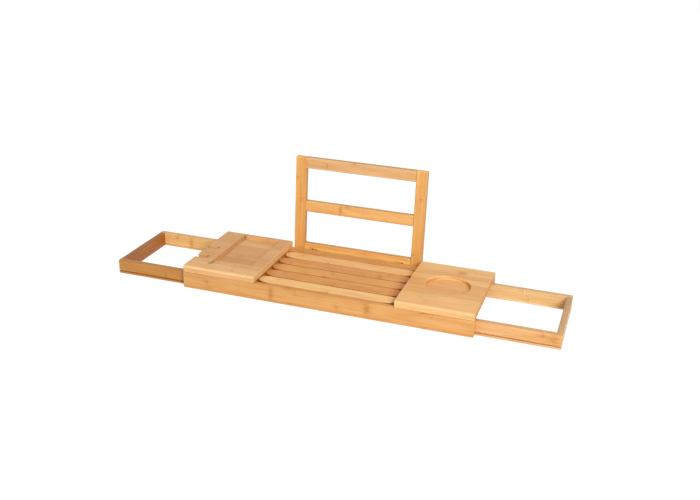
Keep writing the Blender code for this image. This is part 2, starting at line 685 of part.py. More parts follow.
def build():
    clear_scene()
    deck_finish = material("deck bamboo", (231, 178, 125), 0.42)
    rail_finish = material("rail bamboo", (238, 178, 108), 0.42)
    pale_slat = material("pale slat bamboo", (240, 190, 134), 0.45)
    dark_slat = material("dark slat bamboo", (218, 150, 92), 0.45)
    rest_finish = material("rest bamboo", (238, 168, 95), 0.42)
    brass = material("aged brass", (124, 92, 54), 0.38, 1.0)

    body_rail("front_rail", FRONT_Y, 1, rail_finish)
    rear = body_rail("rear_rail", BACK_Y - RAIL_THICKNESS, -1, rail_finish)
    runner("front_runner", FRONT_Y + RAIL_THICKNESS, 1, rail_finish)
    runner("rear_runner", BACK_Y - RAIL_THICKNESS, -1, rail_finish)
    hinge_strip(rail_finish)
    slats(pale_slat, dark_slat)
    centre_batten(rail_finish)

    decks = {}
    for side_name, side in (("left", LEFT), ("right", RIGHT)):
        decks[side] = deck(side_name + "_deck", side, deck_finish)
        cleat = slat_cleat(side_name + "_slat_cleat", side, rail_finish)
        stop = stop_cleat(side_name + "_stop_cleat", side, rail_finish)
        slat_x = DECK_INNER_X + CLEAT_UNDER_DECK / 2
        stop_x = STOP_CLEAT_X + STOP_CLEAT_WIDTH / 2
        sunk = STOP_CLEAT_HEIGHT - CLEAT_HEIGHT
        cleat_screws(side_name, side, "slat_cleat", slat_x, cleat, decks[side], 0, brass)
        cleat_screws(side_name, side, "stop_cleat", stop_x, stop, decks[side], sunk, brass)
        arm(side_name, side, rail_finish)

    glass = [glass_slot(f"glass slot {i + 1}", FRONT_Y + y) for i, y in enumerate(GLASS_SLOT_INSETS)]
    cut(decks[LEFT], phone_recess(), standing_slot(), *glass)
    cut(decks[RIGHT], cup_recess())

    rest_pivot, rest_foot = book_rest(rest_finish)
    hinge("left", LEFT, rest_pivot, rest_foot, rear, brass)
    hinge("right", RIGHT, rest_pivot, rest_foot, rear, brass)


build()
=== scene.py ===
"""The looks of a bamboo bath caddy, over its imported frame: every board, hinge and screw."""

import json
import math

import bmesh
import bpy
from mathutils import Euler, Matrix, Vector


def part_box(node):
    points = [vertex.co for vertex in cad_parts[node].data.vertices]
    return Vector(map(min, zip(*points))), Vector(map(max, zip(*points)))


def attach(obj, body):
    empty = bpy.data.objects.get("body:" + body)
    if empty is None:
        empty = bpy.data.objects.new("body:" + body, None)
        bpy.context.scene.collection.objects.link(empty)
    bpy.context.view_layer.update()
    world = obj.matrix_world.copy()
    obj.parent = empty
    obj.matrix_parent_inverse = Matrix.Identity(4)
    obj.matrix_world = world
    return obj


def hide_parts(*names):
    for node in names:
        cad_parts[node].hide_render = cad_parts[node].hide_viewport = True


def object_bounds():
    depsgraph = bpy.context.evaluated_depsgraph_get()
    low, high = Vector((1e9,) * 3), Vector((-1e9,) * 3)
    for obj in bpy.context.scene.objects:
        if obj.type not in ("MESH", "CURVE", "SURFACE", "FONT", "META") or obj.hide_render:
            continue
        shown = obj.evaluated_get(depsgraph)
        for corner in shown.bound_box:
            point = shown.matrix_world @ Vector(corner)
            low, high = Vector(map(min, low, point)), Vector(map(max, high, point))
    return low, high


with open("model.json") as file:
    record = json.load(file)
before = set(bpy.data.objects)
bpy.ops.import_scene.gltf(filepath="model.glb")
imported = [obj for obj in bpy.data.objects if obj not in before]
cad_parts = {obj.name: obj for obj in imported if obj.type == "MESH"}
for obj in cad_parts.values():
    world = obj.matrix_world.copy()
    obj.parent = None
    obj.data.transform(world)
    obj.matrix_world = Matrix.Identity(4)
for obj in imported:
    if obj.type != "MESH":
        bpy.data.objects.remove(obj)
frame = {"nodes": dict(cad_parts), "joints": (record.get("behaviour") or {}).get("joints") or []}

cad_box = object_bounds()

# The camera
# It stands to the right of the middle, above the tray, and looks down and back to the left, a
# little tilted. Its place was worked out from the corners of the tray in the photograph.
CAMERA_PLACE = (0.5691, -1.6692, 0.8182)
CAMERA_TURN = math.radians(18.286)  # to the left of the tray's depth
CAMERA_TILT = math.radians(-22.467)
CAMERA_ROLL = math.radians(1.579)
HALF_PICTURE_PIXELS = 350
FOCAL_LENGTH_PIXELS = 893.98


def link(name, data):
    """A new object at the origin that shows this mesh, lamp or camera."""
    thing = bpy.data.objects.new(name, data)
    bpy.context.scene.collection.objects.link(thing)
    return thing


camera = link("camera", bpy.data.cameras.new("camera"))
camera.data.angle = 2 * math.atan(HALF_PICTURE_PIXELS / FOCAL_LENGTH_PIXELS)
camera.matrix_world = (
    Matrix.Translation(CAMERA_PLACE)
    @ Matrix.Rotation(CAMERA_TURN, 4, "Z")
    @ Matrix.Rotation(math.pi / 2 + CAMERA_TILT, 4, "X")
    @ Matrix.Rotation(CAMERA_ROLL, 4, "Z")
)
bpy.context.scene.camera = camera
bpy.context.scene.view_settings.view_transform = "Standard"


# The studio
# A white floor that runs out of sight, with soft lamps in front and above. The floor shows nearly
# white to the camera, and keeps a faint shadow under the caddy.
FLOOR_SIZE = 30.0
FLOOR_DROP = 0.0004  # keeps the floor clear of the faces that stand on it
FLOOR_PAINT = (0.9, 0.9, 0.9, 1)
FLOOR_ROUGHNESS = 0.9
FLOOR_WHITE_SHARE = 0.80
FLOOR_GLOW = 1.14
SKY_SHARE = 0.50  # of its white lights the caddy, while the camera sees it all
WHITE = (1, 1, 1, 1)


class Wire:
    """A value in a node tree. Python's operators on it add the Math nodes."""

    def __init__(self, tree, socket):
        self.tree = tree
        self.socket = socket

    def __getitem__(self, output):
        return Wire(self.tree, self.socket.node.outputs[output])

    def math(self, operation, *values):
        return self.tree.add("ShaderNodeMath", {"operation": operation}, dict(enumerate(values)))

    def __add__(self, other):
        return self.math("ADD", self, other)

    __radd__ = __add__

    def __sub__(self, other):
        return self.math("SUBTRACT", self, other)

    def __rsub__(self, other):
        return self.math("SUBTRACT", other, self)

    def __mul__(self, other):
        return self.math("MULTIPLY", self, other)

    __rmul__ = __mul__

    def __truediv__(self, other):
        return self.math("DIVIDE", self, other)

    def __neg__(self):
        return self.math("MULTIPLY", self, -1)

    def __abs__(self):
        return self.math("ABSOLUTE", self)

    def floor(self):
        return self.math("FLOOR", self)

    def fract(self):
        return self.math("FRACT", self)

    def bell(self, width):
        """One at zero, and fading to nothing on both sides within about twice the width."""
        share = self / width
        return self.math("EXPONENT", -(share * share))

    def step(self, low, high):
        """Nought below low and one above high, with a soft change between."""
        settings = {"interpolation_type": "SMOOTHSTEP"}
        limits = {"Value": self, "From Min": low, "From Max": high}
        return self.tree.add("ShaderNodeMapRange", settings, limits)


class Tree:
    """The node tree of a material, the world or a shape."""

    def __init__(self, graph):
        self.graph = graph

    def fill(self, node, inputs):
        """Gives a node's sockets their values or wires."""
        for key, value in inputs.items():
            if isinstance(value, Wire):
                self.graph.links.new(value.socket, node.inputs[key])
            else:
                node.inputs[key].default_value = value

    def add(self, kind, settings=None, inputs=None):
        """Adds a node, sets it up, fills its sockets and gives its first output."""
        node = self.graph.nodes.new(kind)
        for name, value in (settings or {}).items():
            setattr(node, name, value)
        self.fill(node, inputs or {})
        return Wire(self, node.outputs[0]) if node.outputs else node

    def mix(self, share, first, second, blend="MIX"):
        """Mixes two colours, which the Mix node takes at sockets 6 and 7 and gives at output 2."""
        settings = {"data_type": "RGBA", "blend_type": blend}
        return self.add("ShaderNodeMix", settings, {0: share, 6: first, 7: second})[2]


class Finish(Tree):
    """The node tree of a new material, around the shader that makes its surface."""

    def __init__(self, name):
        self.material = bpy.data.materials.new(name)
        self.material.use_nodes = True
        super().__init__(self.material.node_tree)
        self.surface = self.graph.nodes["Principled BSDF"]


def seen_directly(tree):
    """One for what the camera sees itself, in a mirror or through glass."""
    path = tree.add("ShaderNodeLightPath")
    seen = path["Is Camera Ray"].math("MAXIMUM", path["Is Camera Ray"], path["Is Glossy Ray"])
    return seen.math("MAXIMUM", seen, path["Is Transmission Ray"])


world = bpy.data.worlds.new("studio")
bpy.context.scene.world = world
world.use_nodes = True
sky = Tree(world.node_tree)
strength = SKY_SHARE + seen_directly(sky) * (1 - SKY_SHARE)
sky.fill(world.node_tree.nodes["Background"], {"Color": WHITE, "Strength": strength})

bpy.ops.mesh.primitive_plane_add(size=FLOOR_SIZE, location=(0, 0, cad_box[0].z - FLOOR_DROP))
floor = bpy.context.object
floor.name = "floor"

ground = Finish("white floor")
paint = {"Base Color": FLOOR_PAINT, "Roughness": FLOOR_ROUGHNESS, "Specular IOR Level": 0}
ground.fill(ground.surface, paint)
painted = Wire(ground, ground.surface.outputs[0])
glowing = ground.add("ShaderNodeEmission", None, {"Color": WHITE, "Strength": FLOOR_GLOW})
shown = seen_directly(ground) * FLOOR_WHITE_SHARE
both = ground.add("ShaderNodeMixShader", None, {0: shown, 1: painted, 2: glowing})
ground.fill(ground.graph.nodes["Material Output"], {"Surface": both})
floor.data.materials.append(ground.material)

for name, place, aim, size, power in (
    ("key", (1.7, -2.2, 1.7), (0.05, 0, 0.05), 1.3, 70),
    ("overhead", (-0.2, -0.4, 2.5), (0, 0, 0), 2.2, 5),
):
    lamp = bpy.data.lights.new(name, "AREA")
    lamp.shape = "DISK"
    lamp.size = size
    lamp.energy = power
    stand = link(name, lamp)
    stand.location = place
    stand.rotation_euler = (Vector(aim) - Vector(place)).to_track_quat("-Z", "Y").to_euler()


# Long rails
# Two boards of laminated bamboo, sanded round at the edges and sealed with a satin varnish. The
# arms slide on a runner that is glued into a groove along the inner face of each. A flat strip
# closes the gap between the last slat and the rear rail.
BOARD_ROUNDING = 0.0012
END_ROUNDING = 0.0008
ROUND_STEPS = 4
END_STEPS = 3
SAME_POINT = 1e-6
SHARP_ANGLE = math.radians(38)


def smooth(mesh):
    """Shades a mesh smooth over its rounds and sharp at its corners."""
    mesh.shade_smooth()
    mesh.set_sharp_from_angle(angle=SHARP_ANGLE)


def link_mesh(name, shape, finish):
    """A new object at the origin from a bmesh, with smooth rounds and sharp corners."""
    bmesh.ops.recalc_face_normals(shape, faces=shape.faces[:])
    mesh = bpy.data.meshes.new(name)
    shape.to_mesh(mesh)
    shape.free()
    mesh.materials.append(finish)
    smooth(mesh)
    return link(name, mesh)


def keep_flats(piece):
    """Weighs the shading by face area, so that a small round doesn't bend the light on a board."""
    weigh = piece.modifiers.new("flat faces", "WEIGHTED_NORMAL")
    weigh.keep_sharp = True
    return piece


def arc(centre, radius, first, last, steps=ROUND_STEPS):
    """Points round a centre from the first angle to the last, in degrees."""
    angles = [math.radians(first + (last - first) * i / steps) for i in range(steps + 1)]
    return [(centre[0] + radius * math.cos(a), centre[1] + radius * math.sin(a)) for a in angles]


def rounded_rectangle(low, high, radius, steps=ROUND_STEPS):
    """An outline between two opposite corners, each corner an arc. It ends at its right side's foot."""
    left, right = low[0] + radius, high[0] - radius
    front, back = low[1] + radius, high[1] - radius
    centres = [(right, back), (left, back), (left, front), (right, front)]
    corners = [arc(centre, radius, 90 * i, 90 * i + 90, steps) for i, centre in enumerate(centres)]
    return sum(corners, [])


def quarter(radius, steps=ROUND_STEPS):
    """Pairs of (inset, drop) from the side of a rounded edge up to the face."""
    turns = [math.radians(90 * step / steps) for step in range(steps + 1)]
    return [(radius * (1 - math.cos(t)), radius * (1 - math.sin(t))) for t in turns]


def stack(rings):
    """A closed bmesh through rings of equal length, with a face on the first and the last."""
    shape = bmesh.new()
    levels = [[shape.verts.new(point) for point in ring] for ring in rings]
    for low, high in zip(levels, levels[1:]):
        for i in range(len(low)):
            shape.faces.new((low[i - 1], low[i], high[i], high[i - 1]))
    shape.faces.new(levels[0])
    shape.faces.new(levels[-1])
    bmesh.ops.remove_doubles(shape, verts=shape.verts[:], dist=SAME_POINT)
    return shape


def raised(plans):
    """A closed bmesh through level outlines, each given with its height."""
    return stack([[(x, y, z) for x, y in plan] for plan, z in plans])


def swept(outline, axis, start, end, ease=END_ROUNDING):
    """An outline drawn along an axis, with its ends rounded over."""
    us, vs = zip(*outline)
    middle = ((min(us) + max(us)) / 2, (min(vs) + max(vs)) / 2)
    half = ((max(us) - min(us)) / 2, (max(vs) - min(vs)) / 2)
    at = "XYZ".index(axis)

    def ring(along, inset):
        shrink = [1 - inset / size for size in half]
        drawn_in = [[m + (p - m) * s for p, m, s in zip(point, middle, shrink)] for point in outline]
        return [(*point[:at], along, *point[at:]) for point in drawn_in]

    steps = quarter(ease, END_STEPS) if ease else [(0, 0)]
    rings = [ring(start + depth, inset) for depth, inset in steps]
    return stack(rings + [ring(end - depth, inset) for depth, inset in steps[::-1]])


RING_SPACING = 0.29  # between the rings of the stem
RING_WOBBLE = 0.012
RING_STAIN = 0.0075
RING_SCAR = 0.0010
RING_BULGE = 0.0022
RING_BULGE_PLACE = 0.0035  # from the scar
BAMBOO_LAYER = 0.0052  # the strips' thickness
LAYER_SHIFT = 0.37  # of a strip's width, from one layer to the next
LAYER_STRIDE = 3.77  # this and the next two keep the strips' draws apart
STRIP_STRIDE = 7.31
TONE_STRIDE = 61
SECOND_DRAW = 0.5
STRIP_SLIDE = 0.9  # how far apart along the stem the strips of a board may be cut
STRIP_BLUR = 0.02
GLUE_LINE = 0.00022
FIBRE_ROUGHNESS = 0.55
BUNDLES_TO_A_METRE = 1100.0
END_GRAIN_SHARE = 0.70
END_FACING = (0.35, 0.85)  # the shares of its normal where a face begins to count and counts fully
EDGE_FACING = (0.35, 0.90)
WALL_FACING = (0.30, 0.85)
FLOOR_FACING = (0.80, 0.95)
RIGHT_FACING_WALL_SHADE = 0.6  # how much painted shade a wall that faces right gets at its foot, next to one that faces left
ROUTED_BELOW = (0.0025, 0.0045)  # depths under the board's face, as the next ones
DEEP_BELOW = (0.0088, 0.0100)
PALENESS = {"chance": 0.50, "broad": 1.05, "fine": 0.35, "cloud": 0.70}
RELIEF = {"fine": 0.5, "broad": 0.3, "flecks": -0.5, "bulge": 0.9, "scar": -0.8}
RELIEF_STRENGTH = 0.35
RELIEF_HEIGHT = 0.00012
SATIN = 0.40
DULLNESS = {"fine": 0.10, "flecks": 0.10, "end_on": 0.15}
SHEEN = 0.40

# Tints, stains and painted shades are shares of the board's own red, green and blue. A stain or
# painted shade also says how much of the wood it covers at most.
DARK_FIBRES = (0.945, 0.90, 0.82)
PALE_FIBRES = (1.055, 1.11, 1.18)
DARK_BUNDLES = (0.84, 0.72, 0.58)
DARK_STRIP = (0.86, 0.76, 0.70)
PALE_STRIP = (1.14, 1.24, 1.45)
BROWN = (0.78, 0.64, 0.48)
STAINS_AND_SHADES = {
    "rosy strip": (0.50, (0.985, 0.935, 0.93)),
    "streak": (0.30, (0.86, 0.74, 0.58)),
    "fleck": (0.26, BROWN),
    "ring stain": (0.55, (0.90, 0.76, 0.58)),
    "ring scar": (0.45, BROWN),
    "ring bulge": (0.25, PALE_FIBRES),
    "knot": (0.88, (0.86, 0.72, 0.43)),
    # painted shade at the round ends of the slots
    "burn": (0.80, (0.54, 0.38, 0.18)),
    "glue between strips": (0.40, BROWN),
    "glue between layers": (0.25, BROWN),
    "routed floor": (0.22, (0.88, 0.76, 0.62)),
    "deep floor": (0.30, (0.96, 0.90, 0.66)),
    # painted shade at the feet of the walls across the grain, painted light at those along it
    "foot of a cross wall": (0.60, (0.76, 0.63, 0.37)),
    "foot of a long wall": (0.25, (1.03, 1.10, 1.22)),
    # painted shade near the slats' ends, for the shade next to the decks
    "dirty side": (0.95, (0.60, 0.49, 0.22)),
    "dirty end": (0.62, (0.84, 0.74, 0.56)),
    "dirty right end": (0.34, (0.80, 0.64, 0.34)),
}
DARK_STRIP_SHARE = 0.13
DARK_STRIP_FLOOR_SHARE = 0.72  # more where a router has cut them open


def screen_colour(red, green, blue):
    """A colour given from 0 to 255 as a screen shows it, as the renderer wants it."""
    parts = [part / 255 for part in (red, green, blue)]
    lit = [p / 12.92 if p <= 0.04045 else ((p + 0.055) / 1.055) ** 2.4 for p in parts]
    return (*lit, 1)


class Board(Finish):
    """Laminated bamboo. In the board's own frame, at origin and turned, the grain runs along X,
    strips lie side by side along Y, and layers lie on each other along Z."""

    def __init__(self, name, colour, origin, turn, strip, seed, toned):
        super().__init__(name + " bamboo")
        self.colour = colour
        self.strip = strip
        here = self.add("ShaderNodeTexCoord")
        place = {"Vector": here["Object"], "Location": origin, "Rotation": turn}
        self.place = self.add("ShaderNodeMapping", {"vector_type": "TEXTURE"}, place)
        parts = self.add("ShaderNodeSeparateXYZ", None, {"Vector": self.place})
        self.along, self.across, self.deep = parts["X"], parts["Y"], parts["Z"]
        outward = {"Vector": here["Normal"], "Rotation": turn}
        facing = self.add("ShaderNodeMapping", {"vector_type": "TEXTURE"}, outward)
        looks = self.add("ShaderNodeSeparateXYZ", None, {"Vector": facing})
        self.end_on = abs(looks["X"]).step(*END_FACING)
        self.edge_on = abs(looks["Y"]).step(*EDGE_FACING)
        self.upright = 1 - abs(looks["Z"]).step(*WALL_FACING)
        # painted shade by the way a wall faces: full where it faces left, away from the key lamp, less
        # where it faces right
        right_facing_shade = looks["X"].step(*WALL_FACING) * RIGHT_FACING_WALL_SHADE
        self.cross_wall_shading = (-looks["X"]).step(*WALL_FACING) + right_facing_shade
        self.sunk = looks["Z"].step(*FLOOR_FACING) * (-self.deep).step(*ROUTED_BELOW)
        own = seed
        if toned:
            own = self.add("ShaderNodeAttribute", {"attribute_name": "tone"})["Fac"] * TONE_STRIDE + seed
        layer = (self.deep / BAMBOO_LAYER).floor()
        self.side = self.across / strip + layer * LAYER_SHIFT
        number = self.side.floor() * STRIP_STRIDE + layer * LAYER_STRIDE + own
        self.chance = self.toss(number)
        self.tint = self.toss(number + SECOND_DRAW)
        self.slid = self.along + self.chance * STRIP_SLIDE

    def toss(self, number):
        """A number from nought to one that is drawn anew for each number given."""
        settings = {"noise_dimensions": "1D"}
        return self.add("ShaderNodeTexWhiteNoise", settings, {"W": number})["Value"]

    def shade(self, *tint):
        return screen_colour(*[min(255, part * share) for part, share in zip(self.colour, tint)])

    def stain_or_shade(self, name, mask):
        """Colours the wood with one of the stains or painted shades where the mask is one."""
        share, tint = STAINS_AND_SHADES[name]
        self.wood = self.mix(mask * share, self.wood, self.shade(*tint))

    def fibres(self, length, width, detail, slip=0.0):
        """Noise drawn out along the grain into streaks of about this length and width."""
        point = {"X": (self.slid + slip) / length, "Y": self.across / width, "Z": self.deep / width}
        vector = self.add("ShaderNodeCombineXYZ", None, point)
        settings = {"Vector": vector, "Scale": 1.0, "Detail": detail, "Roughness": FIBRE_ROUGHNESS}
        return self.add("ShaderNodeTexNoise", None, settings)["Fac"]

    def weigh(self, weights, start=0):
        """The start plus each of these looks of the board times its weight."""
        return sum((getattr(self, look) * weight for look, weight in weights.items()), start)

    def grain(self, contrast):
        """Broad and fine streaks, a slow change of tone, and short dark flecks."""
        self.broad = self.fibres(length=0.110, width=0.0050, detail=3)
        self.fine = self.fibres(length=0.028, width=0.0010, detail=2, slip=0.3)
        self.cloud = self.fibres(length=0.080, width=0.0300, detail=2, slip=0.7)
        light = self.weigh(PALENESS) - sum(PALENESS.values()) / 2
        share = (light * contrast + 0.5).step(low=-0.15, high=1.15)
        self.wood = self.mix(share, self.shade(*DARK_FIBRES), self.shade(*PALE_FIBRES))
        self.stain_or_shade("rosy strip", self.tint.step(low=0.35, high=1))
        streaks = self.fibres(length=0.060, width=0.0013, detail=1, slip=0.9)
        self.stain_or_shade("streak", streaks.step(low=0.58, high=0.70))
        flecks = self.fibres(length=0.0085, width=0.0007, detail=1, slip=0.5)
        self.flecks = flecks.step(low=0.64, high=0.76)
        self.stain_or_shade("fleck", self.flecks)

    def tone_strips(self, first, last, share, tint):
        """Tints the strips from the first to the last of these numbers."""
        begun = (self.side - first).step(-STRIP_BLUR, STRIP_BLUR)
        not_over = (last + 1 - self.side).step(-STRIP_BLUR, STRIP_BLUR)
        toned = self.mix(1, self.wood, (*tint, 1), "MULTIPLY")
        self.wood = self.mix(begun * not_over * share, self.wood, toned)

    def rings(self, strength):
        """The rings of the stem: a scar across each strip, a brown stain round it, and a bulge."""
        wobble = (self.fibres(length=0.5, width=0.007, detail=1, slip=0.2) - 0.5) * RING_WOBBLE
        ring = (((self.slid + wobble) / RING_SPACING).fract() - 0.5) * RING_SPACING
        self.scar = ring.bell(RING_SCAR) * strength
        self.bulge = (ring - RING_BULGE_PLACE).bell(RING_BULGE) * strength
        ragged = self.fibres(length=0.02, width=0.006, detail=1, slip=0.9).step(low=0.35, high=0.65)
        self.stain_or_shade("ring stain", ring.bell(RING_STAIN) * ragged * strength)
        self.stain_or_shade("ring scar", self.scar)
        self.stain_or_shade("ring bulge", self.bulge)

    def spot(self, x, y, length, width):
        """A soft oval at a place along and across the board, with half its length and width."""
        return (self.along - x).bell(length) * (self.across - y).bell(width)

    def knots_and_shade_lines(self, spots):
        """Brown smudges with ragged edges: knots, and thin painted shadow lines on the front rail."""
        for x, y, length, width in spots:
            ragged = self.fibres(length=0.015, width=0.0035, detail=1, slip=x).step(low=0.18, high=0.56)
            self.stain_or_shade("knot", self.spot(x, y, length, width) * ragged)

    def slot_end_shades(self, spots):
        """Painted shade at the round ends of the slots, which are deep and narrow."""
        for spot in spots:
            self.stain_or_shade("burn", self.spot(*spot))

    def glue(self):
        """Thin dark lines between the strips and between the layers."""
        beside = (abs(self.side.fract() - 0.5) - 0.5) * self.strip
        self.stain_or_shade("glue between strips", beside.bell(GLUE_LINE))
        above = (abs((self.deep / BAMBOO_LAYER).fract() - 0.5) - 0.5) * BAMBOO_LAYER
        self.stain_or_shade("glue between layers", above.bell(GLUE_LINE))

    def sawn(self, edge, ends):
        """Tints the faces along the strips' sides, and gives the ends their bundles of fibres."""
        tinted = self.mix(1, self.wood, (*edge, 1), "MULTIPLY")
        self.wood = self.mix(self.edge_on, self.wood, tinted)
        points = {"Vector": self.place, "Scale": BUNDLES_TO_A_METRE}
        between = self.add("ShaderNodeTexVoronoi", None, points)["Distance"].step(low=0.10, high=0.36)
        ends = self.mix(between, self.shade(*DARK_BUNDLES), self.shade(*ends))
        self.wood = self.mix(self.end_on * END_GRAIN_SHARE, self.wood, ends)

    def routed(self):
        """Darkens the floors that a router cut, and paints shade at the feet of the cross walls and
        light at the feet of the long walls.
        """
        self.stain_or_shade("routed floor", self.sunk)
        self.stain_or_shade("deep floor", (-self.deep).step(*DEEP_BELOW) * self.sunk)
        foot = self.add("ShaderNodeAttribute", {"attribute_name": "foot"})["Fac"]
        self.stain_or_shade("foot of a cross wall", foot * self.cross_wall_shading)
        self.stain_or_shade("foot of a long wall", foot * (1 - self.cross_wall_shading))

    def shade_near_ends(self, sides, faces):
        """Painted shade towards the ends, for the shade next to the decks: most on the upright sides and
        more at the right end. It begins at the first of these distances from the middle and is full at
        the second."""
        self.stain_or_shade("dirty side", self.upright * abs(self.along).step(*sides))
        self.stain_or_shade("dirty end", abs(self.along).step(*faces))
        self.stain_or_shade("dirty right end", self.along.step(*faces))

    def varnish(self):
        """A satin coat that follows the grain. Returns the finished material."""
        surface = {"Height": self.weigh(RELIEF), "Strength": RELIEF_STRENGTH, "Distance": RELIEF_HEIGHT}
        bump = self.add("ShaderNodeBump", None, surface)
        coat = {"Base Color": self.wood, "Roughness": self.weigh(DULLNESS, SATIN), "Normal": bump}
        self.fill(self.surface, {"Specular IOR Level": SHEEN, **coat})
        return self.material


def bamboo(
    name, colour, origin, turn=(0, 0, 0), strip=0.02, seed=0, edge=(1, 1, 1), ends=(1.02, 1.02, 1),
    dark=None, pale=None, knots_and_shade_lines=(), slot_end_shades=(), toned=False, contrast=1.35, ringed=1, end_shading=None,
):
    """The varnished bamboo of one board. The edge and ends are tints, dark and pale are the first and
    last numbers of strips, knots are spots of knots and of thin painted shadow lines, spots of painted
    shade mark the slots' ends, a toned board draws by its tone, and the last argument says where the
    painted shade near the ends, on the sides and on the faces, begins and is full."""
    board = Board(name, colour, origin, turn, strip, seed, toned)
    board.grain(contrast)
    if dark:
        share = board.sunk * DARK_STRIP_FLOOR_SHARE + DARK_STRIP_SHARE
        board.tone_strips(*dark, share, DARK_STRIP)
    if pale:
        board.tone_strips(*pale, 1, PALE_STRIP)
    board.rings(ringed)
    board.knots_and_shade_lines(knots_and_shade_lines)
    board.slot_end_shades(slot_end_shades)
    board.glue()
    board.sawn(edge, ends)
    board.routed()
    # painted shade near the slats' ends
    if end_shading:
        board.shade_near_ends(*end_shading)
    return board.varnish()


def settle(piece, body, slot, *nodes):
    """The piece takes the place of these CAD nodes and rides on their body. Its slot is not used."""
    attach(piece, body)
    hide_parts(*nodes)


FORWARD, BACKWARD = -1, 1  # along Y
ON_EDGE = (math.pi / 2, 0, 0)  # turns the layers of a board that stands on its edge
BOARD_MARGIN = 0.0002  # keeps a board's faces off the joints between its layers
GROOVE_CLEARANCE = 0.0003


def grooved_board(name, runner, open_to, finish):
    """A board in a node's place, with a groove in the face that looks forward or backward. The
    groove clears the runner in it all round."""
    low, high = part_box(name)
    tongue_low, tongue_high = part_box(runner)
    reach = high.y - tongue_low.y if open_to == BACKWARD else tongue_high.y - low.y
    bed = high.y - reach - GROOVE_CLEARANCE
    bottom, top = tongue_low.z - GROOVE_CLEARANCE, tongue_high.z + GROOVE_CLEARANCE
    groove = [(high.y, bottom), (bed, bottom), (bed, top), (high.y, top)]
    outline = rounded_rectangle((low.y, low.z), (high.y, high.z), BOARD_ROUNDING) + groove
    if open_to == FORWARD:
        outline = [(low.y + high.y - y, z) for y, z in outline[::-1]]
    return keep_flats(link_mesh(name + "_board", swept(outline, "X", low.x, high.x), finish))


RAIL_EDGE = (0.96, 0.89, 0.70)
RAIL_STRIP = 0.018
RAIL_LOOKS = {
    "front": {
        "colour": (220, 160, 91),
        "seed": 3,
        "knots_and_shade_lines": (
            (-0.113, 0.018, 0.0055, 0.016),
            (0.097, 0.022, 0.0085, 0.013),
            # the next two are thin painted shadow lines under the top edge, where the slats and the
            # right deck's nose meet the rail
            (-0.077, 0.0350, 0.0090, 0.0022),
            (0.213, 0.0345, 0.0130, 0.0022),
        ),
    },
    "rear": {"colour": (222, 162, 98), "seed": 11, "knots_and_shade_lines": ((0.06, 0.02, 0.006, 0.012),)},
}
for place, open_to in (("front", BACKWARD), ("rear", FORWARD)):
    name = place + "_rail"
    origin = (0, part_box(name)[0].y - BOARD_MARGIN, 0)
    look = {"origin": origin, "turn": ON_EDGE, "strip": RAIL_STRIP, "edge": RAIL_EDGE}
    finish = bamboo(name, **look, **RAIL_LOOKS[place])
    settle(grooved_board(name, place + "_runner", open_to, finish), "body", "rail_bamboo", name)


def refinish(finish, *nodes):
    """A CAD node whose shape is right keeps it and gets its finish here."""
    for node in nodes:
        frame["nodes"][node].data.materials.clear()
        frame["nodes"][node].data.materials.append(finish)


HIDDEN_COLOUR = (214, 156, 92)
STRIP_COLOUR = (212, 150, 80)
runner_finish = bamboo("runner", HIDDEN_COLOUR, (0, 0, -BOARD_MARGIN), seed=5)
refinish(runner_finish, "front_runner", "rear_runner")
low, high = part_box("hinge_strip")
origin = (0, low.y - BOARD_MARGIN, high.z + BOARD_MARGIN)
refinish(bamboo("strip", STRIP_COLOUR, origin, seed=9), "hinge_strip")


# Slats
# Five thin boards with well rounded edges and ends lie between the decks, with gaps that drain the
# water. They are glued down and made alike, and differ in the stem that they were cut from.
SLAT_TOP_ROUNDING = 0.0022
SLAT_TIP_ROUNDING = 0.0009
SLAT_BOTTOM_ROUNDING = 0.0008
SLAT_CORNER = 0.0142
SLAT_CORNER_STEPS = 10
SLAT_POINT = 1.5  # the round ends are drawn out along the slat by this factor
# painted shade: darkens the slats' long sides and the rounds above them, for the shade in the gaps
SLAT_GAP_SHADE = (0.80, 0.68, 0.54)
SLAT_GRAIN_SEED = 21
SLAT_TONE_SEED = 4
SIDE_SHADE_SPAN = (0.120, 0.138)  # painted shade on the slats' sides begins and is full at these distances from the middle
SLAT_LOOKS = {
    "pale": {"colour": (255, 198, 128), "contrast": 1.5, "end_shading": (SIDE_SHADE_SPAN, (0.134, 0.1535))},
    "dark": {
        "colour": (222, 154, 79),
        "contrast": 2.0,
        "end_shading": (SIDE_SHADE_SPAN, (0.116, 0.1500)),
        "knots_and_shade_lines": ((0.083, 0.0810, 0.006, 0.009), (0.139, 0.0113, 0.007, 0.008)),
    },
}


def slat_shape(low, high):
    """A slat's plan, drawn in at the bottom and the top."""
    levels = [(inset, low.z + drop) for inset, drop in quarter(SLAT_BOTTOM_ROUNDING)[::-1]]
    levels += [(inset, high.z - drop) for inset, drop in quarter(SLAT_TOP_ROUNDING)]
    plans = []
    for inset, z in levels:
        tip = inset * SLAT_TIP_ROUNDING / SLAT_TOP_ROUNDING
        near = ((low.x + tip) / SLAT_POINT, low.y + inset)
        far = ((high.x - tip) / SLAT_POINT, high.y - inset)
        plan = rounded_rectangle(near, far, SLAT_CORNER - inset, SLAT_CORNER_STEPS)
        plans.append(([(x * SLAT_POINT, y) for x, y in plan], z))
    return raised(plans)


def baked(thing):
    """A mesh of what an object's modifiers make of it."""
    bpy.context.view_layer.update()
    seen = thing.evaluated_get(bpy.context.evaluated_depsgraph_get())
    return bpy.data.meshes.new_from_object(seen)


